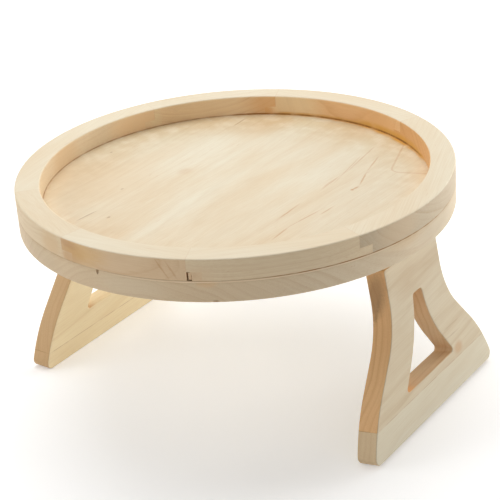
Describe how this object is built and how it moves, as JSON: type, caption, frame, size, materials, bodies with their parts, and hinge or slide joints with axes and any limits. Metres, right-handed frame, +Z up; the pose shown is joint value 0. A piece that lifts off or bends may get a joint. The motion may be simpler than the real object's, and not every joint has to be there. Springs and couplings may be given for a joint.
{
  "type": "sofa arm tray",
  "caption": "Round pine tray with a raised rim on sprung folding legs, which grip a sofa's arm or stand on a table.",
  "frame": {"origin": "on the axis of the round tray, at the level of the feet", "axes": "+Z up, +X from the left leg to the right leg, Y along the hinge pins, -Y the front in the picture"},
  "size_m": [0.3037, 0.3, 0.1557],
  "materials": {
    "board_pine": "bare sanded pine, matt",
    "rim_pine": "bare sanded pine, matt",
    "leg_pine": "bare sanded pine, matt",
    "hinge_steel": "zinc plated sheet",
    "pin_steel": "zinc plated wire",
    "spring_steel": "bright spring wire",
    "screw_steel": "zinc plated"
  },
  "bodies": {
    "tray": {"base_board": "board_pine", "rim_segment_1": "rim_pine", "rim_segment_2": "rim_pine", "rim_segment_3": "rim_pine", "rim_segment_4": "rim_pine", "rim_segment_5": "rim_pine", "rim_segment_6": "rim_pine", "rim_segment_7": "rim_pine", "left_tray_leaf": "hinge_steel", "left_hinge_pin": "pin_steel", "right_tray_leaf": "hinge_steel", "right_hinge_pin": "pin_steel", "leg_springs": "spring_steel", "tray_leaf_screws": "screw_steel"},
    "left_leg": {"left_leg_board": "leg_pine", "left_foot_stave": "leg_pine", "left_leg_leaf": "hinge_steel", "left_leg_screws": "screw_steel"},
    "right_leg": {"right_leg_board": "leg_pine", "right_foot_stave": "leg_pine", "right_leg_leaf": "hinge_steel", "right_leg_screws": "screw_steel"}
  },
  "joints": [
    {"name": "left_leg_fold", "type": "hinge", "parent": "tray", "child": "left_leg", "pos_m": [-0.1214, 0, 0.12018], "axis": [0, -1, 0], "range_deg": [-43.8, 91.2], "stiffness_Nm_per_rad": 0.02, "springref_deg": 91.2},
    {"name": "right_leg_fold", "type": "hinge", "parent": "tray", "child": "right_leg", "pos_m": [0.1214, 0, 0.12018], "axis": [0, 1, 0], "range_deg": [-35.8, 99.2], "stiffness_Nm_per_rad": 0.02, "springref_deg": 99.2}
  ]
}
